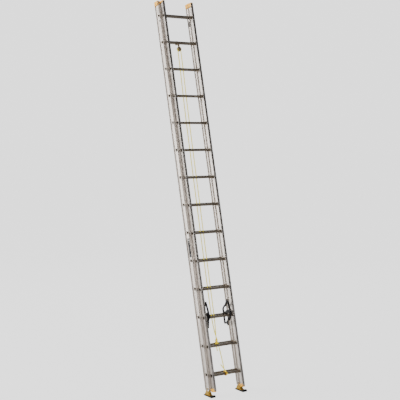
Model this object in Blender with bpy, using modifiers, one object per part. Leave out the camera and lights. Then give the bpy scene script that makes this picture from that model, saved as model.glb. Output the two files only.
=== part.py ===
"""Two-section aluminium extension ladder, set up on its feet at the climbing angle.

Each section has two I-beam rails and fourteen hollow D-shaped rungs. The fly section slides up in
front of the base section, with its rear flanges hooked behind the base's front flanges. A halyard
over a pulley raises it, and two rung locks hook it over the base's rungs. The base stands on
swivel shoes with rubber pads.

World: +Z up, the climber stands on the -Y side, the rungs run along X, and the origin is on the
floor midway between the shoes. Almost everything is placed in the ladder's own frame, that of
the empty "ladder_tilt": x along the rungs, y from the climber to the wall, z up along the rails, and
its origin above the shoes, 88 mm over the floor.
"""

import math

import bmesh
import bpy
from mathutils import Matrix, Vector

# How it stands.
LEAN = math.radians(14.5)  # from upright, so 75.5 degrees from the floor
ORIGIN_HEIGHT = 0.088  # the ladder's own origin over the floor
FIT_GAP = 0.0003  # between pieces that touch
SHARP_ANGLE = math.radians(35)

# Rails: I-beams, with the web halfway across the flanges.
RAIL_LENGTH = 4.277
FLANGE_WIDTH = 0.030
FLANGE_THICK = 0.003  # at the web
FLANGE_TIP_THICK = 0.0026
WEB_THICK = 0.0025
BASE_WIDTH = 0.444  # outside the flanges
FLY_WIDTH = 0.406
BASE_DEPTH = 0.076
FLY_DEPTH = 0.070
SLIDE_GAP = 0.001  # between the base's front flange and the fly's rear flange behind it
BASE_END_BELOW_ORIGIN = 0.024

# Rungs.
RUNG_COUNT = 14
RUNG_PITCH = 0.3048
RUNG_END_MARGIN = 0.158  # from a rail's lower end to the lowest rung's centre
FLY_DROP = 0.016  # the fly hangs this much lower than the base, on its locks
RUNG_WIDTH = 0.032
RUNG_HEIGHT = 0.027
RUNG_CORNER = 0.003
RUNG_WALL = 0.002
RUNG_PAST_WEB = 0.0035  # from the web's middle to the rung's end
RUNG_BOWL_SIDES = 8

# End caps.
CAP_WALL = 0.0019  # round the base's rear flanges. The other flanges are left bare
CAP_SKIRT = 0.034
BOTTOM_CAP_SKIRT = 0.023
CAP_TOP = 0.012
CAP_ROUND = 0.005
BASE_CAP_FRONT = -0.026  # y where the base's caps end, clear of the sliding flanges
FLY_CAP_REAR = -0.0415

# Swivel shoes, measured from the pivot, in the world's own directions.
SHOE_PIVOT_Z = -0.014  # in the ladder's frame
SHOE_TOE = 0.090
SHOE_HEEL = 0.043
SHOE_WIDTH = 0.057
PAD_WIDTH = 0.055
PAD_THICK = 0.010
PAD_LIP = 0.008  # the pad's edge in front of the plate's toe
PAD_WRAP = 0.020  # how far the pad laps back over the toe
PAD_LIP_TOP = 0.021
PLATE_THICK = 0.004
CHEEK_THICK = 0.003
CHEEK_GAP = 0.032  # between the cheeks
CHEEK_RADIUS = 0.0115
CHEEK_WAIST = 0.029  # half the cheeks' length where they start to widen
CHEEK_WAIST_RISE = 0.022
CHEEK_TOE = 0.050
CHEEK_HEEL = 0.040
SHOE_PIN_RADIUS = 0.0045
SHOE_SPACER_RADIUS = 0.007
SHOE_HEAD_RADIUS = 0.009
SHOE_HEAD_THICK = 0.004

# Rung locks, on the fly's third rung from the bottom. Points are (y, z) from its centre.
LOCK_RUNG = 2
LOCK_INNER_X = 0.134
LOCK_THICK = 0.016
LOCK_BUSH_RADIUS = 0.022
LOCK_BUSH_LENGTH = 0.020
LOCK_BOSS_RADIUS = 0.032
LOCK_ARM_LOW = 0.0326  # the arm that hooks over the base's rung
LOCK_ARM_HIGH = 0.0454
LOCK_HOOK_FRONT = 0.087  # the hook passes behind the base's rung
LOCK_HOOK_REAR = 0.1025
LOCK_HOOK_TIP = -0.084
LOCK_APEX = 0.172
TONGUE_PIVOT = (0.012, -0.050)
TONGUE_THICK = 0.0095
TONGUE_PIN_RADIUS = 0.005
TONGUE_BOSS_RADIUS = 0.011
TONGUE_LUG_RADIUS = 0.012
RUNNING_GAP = 0.0003

# Halyard and pulley. The pulley hangs from the base's second rung from the top.
ROPE_DIAMETER = 0.0095
ROPE_Y = -0.033  # midway between the two sets of rungs
PULLEY_RUNG = 12
PULLEY_X = -0.020  # left of the middle
SHEAVE_DROP = 0.080  # the axle below that rung's centre
ROPE_RADIUS_ON_SHEAVE = 0.0185
SHEAVE_RADIUS = 0.0215
SHEAVE_WIDTH = 0.013
GROOVE_SLOPE = (0.0160, 0.0052)  # the radius and half width where the groove's side turns inwards
GROOVE_FLOOR = (0.0134, 0.0024)
SHEAVE_RIM = 0.0004
AXLE_RADIUS = 0.004
AXLE_HEAD_RADIUS = 0.0065
AXLE_HEAD_THICK = 0.0015
BLOCK_THICK = 0.020
BLOCK_SLOT = 0.015
BLOCK_HALF_WIDTH = 0.0255
BLOCK_HALF_HEIGHT = 0.026
BLOCK_TOP_BELOW_RUNG = 0.0524
BRIDGE_THICK = 0.0036
HANGER_WIDTH = 0.020
HANGER_INNER_RADIUS = 0.0206
HANGER_OUTER_RADIUS = 0.024
TANG_HALF = 0.003  # the hanger's tongue that runs down to the block
TANG_ROOT = (-0.030, -0.034)  # where its two sides leave the ring
KNOT_RUNG = 1  # the base's rung that the haul line is tied to
ROPE_TURNS_WIDTH = 0.020
KNOT_X = -0.031
HITCH_X = -0.006
KNOT_LUMP = (0.019, 0.014, 0.021)
KNOT_LUMP_AT = (-0.031, -0.012, 0.0385)

# Guide blocks under the base's top rung, behind the fly's sliding flange.
GUIDE_Y = (-0.0295, 0.020)
GUIDE_X = (0.192, 0.2053)
GUIDE_BELOW_RUNG = (0.095, 0.039)
GUIDE_ROUND = 0.002

# Worked out from the sizes above, in the ladder's frame.
BASE_WEB_X = (BASE_WIDTH - FLANGE_WIDTH) / 2
FLY_WEB_X = (FLY_WIDTH - FLANGE_WIDTH) / 2
FLY_Y = 2 * FLANGE_THICK + SLIDE_GAP - (BASE_DEPTH + FLY_DEPTH) / 2
BASE_BOTTOM = -BASE_END_BELOW_ORIGIN
FLY_BOTTOM = BASE_BOTTOM - FLY_DROP
BASE_FIRST_RUNG = BASE_BOTTOM + RUNG_END_MARGIN
FLY_FIRST_RUNG = FLY_BOTTOM + RUNG_END_MARGIN
LOCK_Z = FLY_FIRST_RUNG + LOCK_RUNG * RUNG_PITCH
PULLEY_RUNG_Z = BASE_FIRST_RUNG + PULLEY_RUNG * RUNG_PITCH
AXLE_Z = PULLEY_RUNG_Z - SHEAVE_DROP
KNOT_Z = BASE_FIRST_RUNG + KNOT_RUNG * RUNG_PITCH

# Routes of the halyard's two runs. Each point is (x, y, height over the fly's lowest rung).
FLY_LINE_ROUTE = [
    (-0.0415, -0.0330, 3.35),
    (-0.0490, -0.0330, 3.05),
    (-0.0550, -0.0335, 2.75),
    (-0.0580, -0.0340, 2.40),
    (-0.0610, -0.0340, 2.00),
    (-0.0640, -0.0345, 1.60),
    (-0.0675, -0.0350, 1.20),
    (-0.0690, -0.0355, 0.85),
    (-0.0680, -0.0360, 0.62),
    (-0.0590, -0.0370, 0.48),
    (-0.0420, -0.0375, 0.38),
    (-0.0250, -0.0385, 0.28),
    (-0.0120, -0.0405, 0.17),
    (-0.0050, -0.0435, 0.08),
    (-0.0020, -0.0447, 0.026),
]
HAUL_LINE_ROUTE = [
    (-0.0030, -0.0330, 3.35),
    (-0.0100, -0.0330, 3.05),
    (-0.0150, -0.0335, 2.75),
    (-0.0180, -0.0335, 2.40),
    (-0.0210, -0.0335, 2.00),
    (-0.0245, -0.0335, 1.60),
    (-0.0285, -0.0335, 1.20),
    (-0.0305, -0.0330, 0.85),
    (-0.0315, -0.0320, 0.62),
    (-0.0320, -0.0270, 0.50),
    (-0.0320, -0.0185, 0.42),
    (-0.0310, -0.0130, 0.3812),
]
HITCH_TAIL = [
    (-0.0100, -0.0800, 0.012),
    (-0.0130, -0.0840, 0.026),
    (-0.0290, -0.0860, 0.048),
    (-0.0480, -0.0850, 0.076),
    (-0.0650, -0.0830, 0.103),
]
# From the centre of the base's rung that carries the knot.
KNOT_TAIL = [
    (-0.0330, -0.0180, 0.038),
    (-0.0440, -0.0255, 0.030),
    (-0.0500, -0.0262, 0.006),
    (-0.0480, -0.0262, -0.030),
    (-0.0440, -0.0262, -0.075),
]
ROPE_POINT_SPACING = 0.085

# How an outline or a turned profile is laid into the ladder's frame.
SIDEWAYS = Matrix(((0, 0, 1, 0), (1, 0, 0, 0), (0, 1, 0, 0), (0, 0, 0, 1)))  # drawn in (y, z)
FACING = Matrix(((1, 0, 0, 0), (0, 0, -1, 0), (0, 1, 0, 0), (0, 0, 0, 1)))  # drawn in (x, z)
FLAT = Matrix()  # drawn in (x, y)
LEVEL = Matrix.Rotation(LEAN, 4, "X")  # undoes the lean, so that treads are level in use


def arc(centre, radius, start, end, steps):
    """Points on a circle from one angle to another, in degrees, both ends included."""
    angles = [math.radians(start + (end - start) * i / steps) for i in range(steps + 1)]
    return [(centre[0] + radius * math.cos(a), centre[1] + radius * math.sin(a)) for a in angles]


def ring(centre, radius, steps):
    return arc(centre, radius, 0, 360 - 360 / steps, steps - 1)


def rung_outline(grow=0.0):
    """The rung's D: a level tread on top with rounded corners, and a bowl below."""
    half = RUNG_WIDTH / 2 + grow
    top = RUNG_HEIGHT / 2 + grow
    corner = max(RUNG_CORNER + grow, 0.001)
    shoulder = top - corner
    depth = shoulder + top
    points = arc((half - corner, shoulder), corner, 90, 0, 2)
    for i in range(1, RUNG_BOWL_SIDES):
        angle = math.pi * i / RUNG_BOWL_SIDES
        points.append((half * math.cos(angle), shoulder - depth * math.sin(angle)))
    return points + arc((corner - half, shoulder), corner, 180, 90, 2)


def rail_outline(depth, grow=0.0):
    """An I-beam's section, with its web along y."""
    side, web, end = FLANGE_WIDTH / 2 + grow, WEB_THICK / 2 + grow, depth / 2 + grow
    root, tip = end - FLANGE_THICK - 2 * grow, end - FLANGE_TIP_THICK - 2 * grow
    half = [(web, -root), (side, -tip), (side, -end), (-side, -end), (-side, -tip), (-web, -root)]
    return half + [(-x, -y) for x, y in half]


def new_collection(name):
    made = bpy.data.collections.new(name)
    bpy.context.scene.collection.children.link(made)
    return made


def new_material(name, colour, metallic, roughness):
    made = bpy.data.materials.new(name)
    made.use_nodes = True
    made.diffuse_color = (*colour, 1.0)
    shader = made.node_tree.nodes["Principled BSDF"]
    shader.inputs["Base Color"].default_value = (*colour, 1.0)
    shader.inputs["Metallic"].default_value = metallic
    shader.inputs["Roughness"].default_value = roughness
    return made


def new_empty(name, location, rotation=(0.0, 0.0, 0.0), parent=None):
    made = bpy.data.objects.new(name, None)
    PARTS.objects.link(made)
    made.parent = parent
    made.location = location
    made.rotation_euler = rotation
    return made


def place(name, mesh, location, parent, material, collection=None):
    """Makes an object of a mesh. A mesh that several objects share takes its material once."""
    made = bpy.data.objects.new(name, mesh)
    (collection or PARTS).objects.link(made)
    made.parent = parent
    made.location = location
    if material and not mesh.materials:
        mesh.materials.append(material)
    mesh.shade_smooth()
    mesh.set_sharp_from_angle(angle=SHARP_ANGLE)
    return made


def mesh_of(made):
    """The mesh that a curve object evaluates to, with its caps welded on. The curve is removed."""
    if not made.users_collection:
        CUTTERS.objects.link(made)
    bpy.context.view_layer.update()
    evaluated = made.evaluated_get(bpy.context.evaluated_depsgraph_get())
    mesh = bpy.data.meshes.new_from_object(evaluated)
    mesh.name = made.name
    bpy.data.objects.remove(made)
    work = bmesh.new()
    work.from_mesh(mesh)
    bmesh.ops.remove_doubles(work, verts=work.verts, dist=0.00001)
    bmesh.ops.recalc_face_normals(work, faces=work.faces)
    work.to_mesh(mesh)
    work.free()
    return mesh


def plate(name, loops, thickness, laid=FLAT):
    """A mesh from flat outlines, the first the outside and the rest holes, as thick as told."""
    curve = bpy.data.curves.new(name, "CURVE")
    curve.dimensions = "2D"
    curve.fill_mode = "BOTH"
    curve.extrude = thickness / 2
    for loop in loops:
        spline = curve.splines.new("POLY")
        spline.points.add(len(loop) - 1)
        for point, (u, v) in zip(spline.points, loop):
            point.co = (u, v, 0.0, 1.0)
        spline.use_cyclic_u = True
    mesh = mesh_of(bpy.data.objects.new(name, curve))
    mesh.transform(laid)
    return mesh


def block(name, low, high):
    """A box mesh between two corners."""
    work = bmesh.new()
    bmesh.ops.create_cube(work, size=1.0)
    size = [b - a for a, b in zip(low, high)]
    middle = [(a + b) / 2 for a, b in zip(low, high)]
    bmesh.ops.scale(work, vec=size, verts=work.verts)
    bmesh.ops.translate(work, vec=middle, verts=work.verts)
    mesh = bpy.data.meshes.new(name)
    work.to_mesh(mesh)
    work.free()
    return mesh


def cylinder(name, radius, length, steps=16, laid=FLAT):
    work = bmesh.new()
    bmesh.ops.create_cone(
        work, cap_ends=True, segments=steps, radius1=radius, radius2=radius, depth=length
    )
    mesh = bpy.data.meshes.new(name)
    work.to_mesh(mesh)
    work.free()
    mesh.transform(laid)
    return mesh


def cutter(name, mesh, location, parent):
    """An object that only takes part in a Boolean."""
    made = place(name, mesh, location, parent, None, CUTTERS)
    made.hide_render = True
    made.display_type = "WIRE"
    return made


def combine(made, other, operation):
    modifier = made.modifiers.new(other.name, "BOOLEAN")
    modifier.operation = operation
    modifier.solver = "EXACT"
    modifier.object = other
    return made


def round_edges(made, width, segments=2):
    modifier = made.modifiers.new("rounded_edges", "BEVEL")
    modifier.width = width
    modifier.segments = segments
    modifier.limit_method = "ANGLE"
    return made


def turned(name, profile, location, rotation, parent, material, steps=20):
    """A turned piece. The profile is (radius, height), down its outer side."""
    closed = profile[0][0] > 0
    mesh = bpy.data.meshes.new(name)
    edges = [(i, i + 1) for i in range(len(profile) - 1)]
    if closed:
        edges.append((len(profile) - 1, 0))
    mesh.from_pydata([(r, 0.0, z) for r, z in profile], edges, [])
    made = place(name, mesh, location, parent, material)
    made.rotation_euler = rotation
    screw = made.modifiers.new("turned", "SCREW")
    screw.steps = steps
    screw.render_steps = steps
    screw.use_merge_vertices = True
    screw.merge_threshold = 0.00001
    screw.use_smooth_shade = True
    return made


def smooth_route(points, spacing):
    """Points a fixed spacing apart on a smooth curve through the route's own points."""
    knots = [Vector(p) for p in points]
    knots = [2 * knots[0] - knots[1], *knots, 2 * knots[-1] - knots[-2]]
    fine = [knots[1]]
    for a, b, c, d in zip(knots, knots[1:], knots[2:], knots[3:]):
        steps = max(1, round((c - b).length / spacing))
        for i in range(1, steps + 1):
            t = i / steps
            along = (c - a) * t + (2 * a - 5 * b + 4 * c - d) * t**2 + (3 * b - a - 3 * c + d) * t**3
            fine.append(b + along / 2)
    return fine


def rope(name, points, parent, material):
    """A plain tube for a run of rope."""
    curve = bpy.data.curves.new(name, "CURVE")
    curve.dimensions = "3D"
    curve.bevel_depth = ROPE_DIAMETER / 2
    curve.bevel_resolution = 2
    curve.use_fill_caps = True
    spline = curve.splines.new("POLY")
    spline.points.add(len(points) - 1)
    for point, at in zip(spline.points, points):
        point.co = (*at, 1.0)
    made = bpy.data.objects.new(name, curve)
    PARTS.objects.link(made)
    made.parent = parent
    if material:
        curve.materials.append(material)
    return made


def raised(points, height):
    return [(x, y, z + height) for x, y, z in points]


def add_rail(name, web_x, middle_y, depth, bottom, parent):
    mesh = plate(name, [rail_outline(depth)], RAIL_LENGTH)
    mesh.transform(Matrix.Translation((0.0, 0.0, RAIL_LENGTH / 2)))
    rail = place(name, mesh, (web_x, middle_y, bottom), parent, ALUMINIUM)
    hole = plate(name + "_hole", [rung_outline(FIT_GAP)], 4 * WEB_THICK, LEVEL @ SIDEWAYS)
    work = bmesh.new()
    for i in range(RUNG_COUNT):
        first = len(work.verts)
        work.from_mesh(hole)
        work.verts.ensure_lookup_table()
        rise = (0.0, 0.0, RUNG_END_MARGIN + i * RUNG_PITCH)
        bmesh.ops.translate(work, vec=rise, verts=work.verts[first:])
    work.to_mesh(hole)
    work.free()
    combine(rail, cutter(name + "_rung_holes", hole, rail.location, parent), "DIFFERENCE")
    return rail


def add_rungs(section, web_x, middle_y, first_z, parent):
    """Rungs are numbered from the bottom."""
    length = 2 * (web_x + RUNG_PAST_WEB)
    loops = [rung_outline(), rung_outline(-RUNG_WALL)]
    mesh = plate(section + "_rung", loops, length, LEVEL @ SIDEWAYS)
    for i in range(RUNG_COUNT):
        at = (0.0, middle_y, first_z + i * RUNG_PITCH)
        place(f"{section}_rung_{i + 1:02d}", mesh, at, parent, ALUMINIUM)


def add_cap(name, web_x, low_y, high_y, wall, skirt, rail, end_z, upwards, parent):
    """A moulded cap on a rail's end: a rounded block with the rail's own section taken out of it.
    The wall is how far it stands out beside the flanges, and the rail is its middle y and depth."""
    half = FLANGE_WIDTH / 2 + wall
    near, far = -skirt * upwards, CAP_TOP * upwards
    low = (-half, low_y, min(near, far))
    high = (half, high_y, max(near, far))
    cap = place(name, block(name, low, high), (web_x, 0.0, end_z), parent, CAP_PLASTIC)
    round_edges(cap, CAP_ROUND)
    middle_y, depth = rail
    length = 2 * skirt + FIT_GAP
    inside = plate(name + "_inside", [rail_outline(depth, FIT_GAP)], length)
    inside.transform(Matrix.Translation((0.0, middle_y, (FIT_GAP - length / 2) * upwards)))
    combine(cap, cutter(name + "_inside", inside, cap.location, parent), "DIFFERENCE")


def add_caps(tilt, fly):
    wall = FIT_GAP + CAP_WALL
    base, section = (0.0, BASE_DEPTH), (FLY_Y, FLY_DEPTH)
    fly_span = (FLY_Y - FLY_DEPTH / 2, FLY_CAP_REAR, 0.0)
    base_span = (BASE_CAP_FRONT, BASE_DEPTH / 2 + wall, wall)
    for side, sign in SIDES:
        base_x, fly_x = sign * BASE_WEB_X, sign * FLY_WEB_X
        top = BASE_BOTTOM + RAIL_LENGTH
        add_cap(f"{side}_base_top_cap", base_x, *base_span, CAP_SKIRT, base, top, 1, tilt)
        top = FLY_BOTTOM + RAIL_LENGTH
        add_cap(f"{side}_fly_top_cap", fly_x, *fly_span, CAP_SKIRT, section, top, 1, fly)
        bottom_cap = f"{side}_fly_bottom_cap"
        add_cap(bottom_cap, fly_x, *fly_span, BOTTOM_CAP_SKIRT, section, FLY_BOTTOM, -1, fly)


def add_shoe(side, sign, tilt):
    """A bracket of two cheeks on a plate, a rubber pad under it, and the bolt it swivels on."""
    drop = Vector((0.0, SHOE_PIVOT_Z * math.sin(LEAN), SHOE_PIVOT_Z * math.cos(LEAN)))
    at = Vector((sign * BASE_WEB_X, 0.0, ORIGIN_HEIGHT)) + drop
    plate_low = PAD_THICK + FIT_GAP - at.z
    plate_high = plate_low + PLATE_THICK
    foot = (plate_low + plate_high) / 2
    waist = foot + CHEEK_WAIST_RISE
    side_view = arc((0.0, 0.0), CHEEK_RADIUS, 0, 180, 8)
    side_view += [(-CHEEK_WAIST, waist), (-CHEEK_TOE, foot), (CHEEK_HEEL, foot), (CHEEK_WAIST, waist)]
    pin_hole = ring((0.0, 0.0), SHOE_PIN_RADIUS + RUNNING_GAP, 16)
    name = f"{side}_shoe_bracket"
    width = CHEEK_GAP + 2 * CHEEK_THICK
    bracket = place(name, plate(name, [side_view, pin_hole], width, SIDEWAYS), at, None, SHOE_METAL)
    between = block(
        name + "_gap", (-CHEEK_GAP / 2, -SHOE_TOE, plate_high), (CHEEK_GAP / 2, SHOE_TOE, ORIGIN_HEIGHT)
    )
    combine(bracket, cutter(name + "_gap", between, at, None), "DIFFERENCE")
    sole = block(
        name + "_plate",
        (-SHOE_WIDTH / 2, -SHOE_TOE, plate_low),
        (SHOE_WIDTH / 2, SHOE_HEEL, plate_high),
    )
    combine(bracket, cutter(name + "_plate", sole, at, None), "UNION")

    toe, lip = SHOE_TOE + FIT_GAP, SHOE_TOE + PAD_LIP
    wrapped = plate_high + at.z + FIT_GAP
    pad_view = [
        (SHOE_HEEL, 0.0),
        (SHOE_HEEL, PAD_THICK),
        (-toe, PAD_THICK),
        (-toe, wrapped),
        (PAD_WRAP - toe, wrapped),
        (PAD_WRAP - toe, PAD_LIP_TOP),
        (-lip, PAD_LIP_TOP),
        (-lip, 0.0),
    ]
    pad_view = [(y, z - at.z) for y, z in pad_view]
    name = f"{side}_shoe_pad"
    place(name, plate(name, [pad_view], PAD_WIDTH, SIDEWAYS), at, None, RUBBER)

    web = WEB_THICK / 2 + FIT_GAP
    cheek_in = CHEEK_GAP / 2 - FIT_GAP
    cheek_out = CHEEK_GAP / 2 + CHEEK_THICK + FIT_GAP
    end = cheek_out + SHOE_HEAD_THICK
    upper = [
        (0.0, end),
        (SHOE_HEAD_RADIUS, end),
        (SHOE_HEAD_RADIUS, cheek_out),
        (SHOE_PIN_RADIUS, cheek_out),
        (SHOE_PIN_RADIUS, cheek_in),
        (SHOE_SPACER_RADIUS, cheek_in),
        (SHOE_SPACER_RADIUS, web),
        (SHOE_PIN_RADIUS, web),
    ]
    lower = [(r, -h) for r, h in reversed(upper)]
    turned(f"{side}_shoe_bolt", upper + lower, at, (0.0, math.pi / 2, 0.0), None, STEEL)
    hole = cylinder(f"{side}_bolt_hole", SHOE_PIN_RADIUS + FIT_GAP, 4 * WEB_THICK, 16, turn_to_x())
    return cutter(f"{side}_bolt_hole", hole, (at.x, 0.0, SHOE_PIVOT_Z), tilt)


def turn_to_x():
    """Turns a piece made along z so that it lies along x."""
    return Matrix.Rotation(math.pi / 2, 4, "Y")


def lock_outline():
    """The rung lock: a boss on the fly's rung, an arm over the base's rung, a hook down behind it,
    and an A-frame above that meets at an apex. Its rear leg bends clear of the rungs it passes."""
    boss = (0.0, 0.0)
    outside = [
        (-0.0120, LOCK_APEX),
        (0.0030, LOCK_APEX),
        (0.0455, 0.1195),
        (0.0665, 0.1095),
        (0.0865, 0.0935),
        (LOCK_HOOK_REAR, 0.0745),
        (LOCK_HOOK_REAR, LOCK_HOOK_TIP),
        (LOCK_HOOK_FRONT, LOCK_HOOK_TIP),
        (LOCK_HOOK_FRONT, LOCK_ARM_LOW),
        (0.0450, LOCK_ARM_LOW),
    ]
    outside += arc(boss, LOCK_BOSS_RADIUS, 25, -35, 5)
    outside += arc(TONGUE_PIVOT, TONGUE_LUG_RADIUS, 10, -170, 8)
    outside += arc(boss, LOCK_BOSS_RADIUS, -140, -155, 2)
    outside += [(-0.0400, -0.0080), (-0.0420, 0.0120), (-0.0360, 0.0620)]
    opening = [
        (-0.0190, 0.0620),
        (-0.0150, 0.0560),
        (0.0400, 0.0560),
        (0.0450, LOCK_ARM_HIGH),
        (LOCK_HOOK_FRONT, LOCK_ARM_HIGH),
        (LOCK_HOOK_FRONT, 0.0745),
        (0.0805, 0.0835),
        (0.0600, 0.0940),
        (0.0370, 0.1020),
        (0.0000, 0.1410),
        (-0.0045, 0.1410),
    ]
    bush_hole = ring(boss, LOCK_BUSH_RADIUS + RUNNING_GAP, 24)
    pin_hole = ring(TONGUE_PIVOT, TONGUE_PIN_RADIUS + RUNNING_GAP, 12)
    return [outside, opening, bush_hole, pin_hole]


def tongue_outline():
    """The tongue: an arm that closes the hook from below, and a tail to work it by."""
    points = arc((0.0, 0.0), TONGUE_BOSS_RADIUS, 60, 240, 8)
    tail_and_arm = [
        (0.021, -0.1120),
        (0.031, -0.1100),
        (0.036, -0.0915),
        (0.084, -0.0880),
        (0.084, -0.0725),
        (0.046, -0.0710),
    ]
    y, z = TONGUE_PIVOT
    return points + [(a - y, b - z) for a, b in tail_and_arm]


def add_lock(side, sign, fly):
    middle = sign * (LOCK_INNER_X + LOCK_THICK / 2)
    name = f"{side}_lock_bush"
    loops = [ring((0.0, 0.0), LOCK_BUSH_RADIUS, 24)]
    bush = plate(name, loops, LOCK_BUSH_LENGTH, SIDEWAYS)
    made = place(name, bush, (middle, FLY_Y, LOCK_Z), fly, ALUMINIUM)
    rung = plate(name + "_hole", [rung_outline(FIT_GAP)], 2 * LOCK_BUSH_LENGTH, LEVEL @ SIDEWAYS)
    combine(made, cutter(name + "_hole", rung, made.location, fly), "DIFFERENCE")

    name = f"{side}_lock_body"
    body = plate(name, lock_outline(), LOCK_THICK, SIDEWAYS)
    place(name, body, (middle, FLY_Y, LOCK_Z), fly, LOCK_METAL)

    name = f"{side}_lock_tongue"
    outer_face = LOCK_INNER_X - 2 * FIT_GAP
    at = (sign * (outer_face - TONGUE_THICK / 2), FLY_Y + TONGUE_PIVOT[0], LOCK_Z + TONGUE_PIVOT[1])
    tongue = place(name, plate(name, [tongue_outline()], TONGUE_THICK, SIDEWAYS), at, fly, LOCK_METAL)
    pin_length = TONGUE_THICK / 2 + LOCK_THICK + 0.002
    pin = cylinder(name + "_pin", TONGUE_PIN_RADIUS, pin_length, 12, turn_to_x())
    pin.transform(Matrix.Translation((sign * pin_length / 2, 0.0, 0.0)))
    combine(tongue, cutter(name + "_pin", pin, at, fly), "UNION")


def add_pulley(tilt):
    name = "pulley_hanger"
    tang_y = ROPE_Y
    outline = arc((0.0, 0.0), HANGER_OUTER_RADIUS, -110, 200, 16)
    tang_low = FIT_GAP - BLOCK_TOP_BELOW_RUNG
    outline += [
        (tang_y - TANG_HALF, TANG_ROOT[0]),
        (tang_y - TANG_HALF, tang_low),
        (tang_y + TANG_HALF, tang_low),
        (tang_y + TANG_HALF, TANG_ROOT[1]),
    ]
    loops = [outline, ring((0.0, 0.0), HANGER_INNER_RADIUS, 24)]
    hanger = plate(name, loops, HANGER_WIDTH, SIDEWAYS)
    place(name, hanger, (PULLEY_X, 0.0, PULLEY_RUNG_Z), tilt, STEEL)

    name = "pulley_block"
    centre = SHEAVE_DROP - BLOCK_TOP_BELOW_RUNG - BLOCK_HALF_HEIGHT
    oval = [(x * BLOCK_HALF_WIDTH, centre + z * BLOCK_HALF_HEIGHT) for x, z in ring((0, 0), 1.0, 28)]
    hole = ring((0.0, 0.0), AXLE_RADIUS + FIT_GAP, 16)
    axle_at = (PULLEY_X, ROPE_Y, AXLE_Z)
    shell = place(name, plate(name, [oval, hole], BLOCK_THICK, FACING), axle_at, tilt, STEEL)
    slot_top = centre + BLOCK_HALF_HEIGHT - BRIDGE_THICK
    slot = block(
        name + "_slot",
        (-2 * BLOCK_HALF_WIDTH, -BLOCK_SLOT / 2, -3 * BLOCK_HALF_HEIGHT),
        (2 * BLOCK_HALF_WIDTH, BLOCK_SLOT / 2, slot_top),
    )
    combine(shell, cutter(name + "_slot", slot, axle_at, tilt), "DIFFERENCE")

    facing = (math.pi / 2, 0.0, 0.0)
    half = SHEAVE_WIDTH / 2
    bore = AXLE_RADIUS + RUNNING_GAP
    groove = [
        (bore, half),
        (SHEAVE_RADIUS, half),
        (SHEAVE_RADIUS, half - SHEAVE_RIM),
        GROOVE_SLOPE,
        GROOVE_FLOOR,
    ]
    groove += [(r, -h) for r, h in reversed(groove)]
    turned("pulley_sheave", groove, axle_at, facing, tilt, SHEAVE_PLASTIC, 28)

    outer = BLOCK_THICK / 2 + FIT_GAP
    end = outer + AXLE_HEAD_THICK
    pin = [(0.0, end), (AXLE_HEAD_RADIUS, end), (AXLE_HEAD_RADIUS, outer), (AXLE_RADIUS, outer)]
    pin += [(r, -h) for r, h in reversed(pin)]
    turned("pulley_axle", pin, axle_at, facing, tilt, STEEL)


def add_halyard(tilt, fly):
    split_z = AXLE_Z - ROPE_DIAMETER
    left_x = PULLEY_X - ROPE_RADIUS_ON_SHEAVE
    straight = [(left_x, ROPE_Y, split_z - drop) for drop in (FIT_GAP, ROPE_DIAMETER)]
    points = straight + raised(FLY_LINE_ROUTE, FLY_FIRST_RUNG)
    rope("halyard_fly_line", smooth_route(points, ROPE_POINT_SPACING), tilt, ROPE)

    over = [(left_x, split_z)] + arc((PULLEY_X, AXLE_Z), ROPE_RADIUS_ON_SHEAVE, 180, 0, 12)
    over = [Vector((x, ROPE_Y, z)) for x, z in over]
    down = smooth_route([over[-1], *raised(HAUL_LINE_ROUTE, FLY_FIRST_RUNG)], ROPE_POINT_SPACING)
    rope("halyard_haul_line", over + down[1:], tilt, ROPE)

    name = "halyard_hitch"
    wrap = [rung_outline(ROPE_DIAMETER), rung_outline(FIT_GAP)]
    mesh = plate(name, wrap, ROPE_TURNS_WIDTH, LEVEL @ SIDEWAYS)
    hitch = place(name, mesh, (HITCH_X, FLY_Y, FLY_FIRST_RUNG), fly, ROPE)
    tail = rope(name + "_tail", raised(HITCH_TAIL, FLY_FIRST_RUNG), fly, None)
    combine(hitch, cutter(name + "_tail", mesh_of(tail), (0.0, 0.0, 0.0), fly), "UNION")

    name = "halyard_knot"
    mesh = plate(name, wrap, ROPE_DIAMETER, LEVEL @ SIDEWAYS)
    knot = place(name, mesh, (KNOT_X, 0.0, KNOT_Z), tilt, ROPE)
    work = bmesh.new()
    bmesh.ops.create_uvsphere(work, u_segments=14, v_segments=10, radius=1.0)
    bmesh.ops.scale(work, vec=KNOT_LUMP, verts=work.verts)
    lump = bpy.data.meshes.new(name + "_lump")
    work.to_mesh(lump)
    work.free()
    lump_at = raised([KNOT_LUMP_AT], KNOT_Z)[0]
    combine(knot, cutter(name + "_lump", lump, lump_at, tilt), "UNION")
    tail = rope(name + "_tail", raised(KNOT_TAIL, KNOT_Z), tilt, None)
    combine(knot, cutter(name + "_tail", mesh_of(tail), (0.0, 0.0, 0.0), tilt), "UNION")


def add_guides(tilt):
    top_rung = BASE_FIRST_RUNG + (RUNG_COUNT - 1) * RUNG_PITCH
    low, high = (top_rung - below for below in GUIDE_BELOW_RUNG)
    for side, sign in SIDES:
        near, far = sorted(sign * x for x in GUIDE_X)
        name = f"{side}_slide_guide"
        corners = (near, GUIDE_Y[0], low), (far, GUIDE_Y[1], high)
        guide = place(name, block(name, *corners), (0.0, 0.0, 0.0), tilt, GUIDE_PLASTIC)
        round_edges(guide, GUIDE_ROUND, 1)


for old in list(bpy.data.objects):
    bpy.data.objects.remove(old)

PARTS = new_collection("extension_ladder")
CUTTERS = new_collection("cutters")
SIDES = (("left", -1), ("right", 1))

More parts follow.
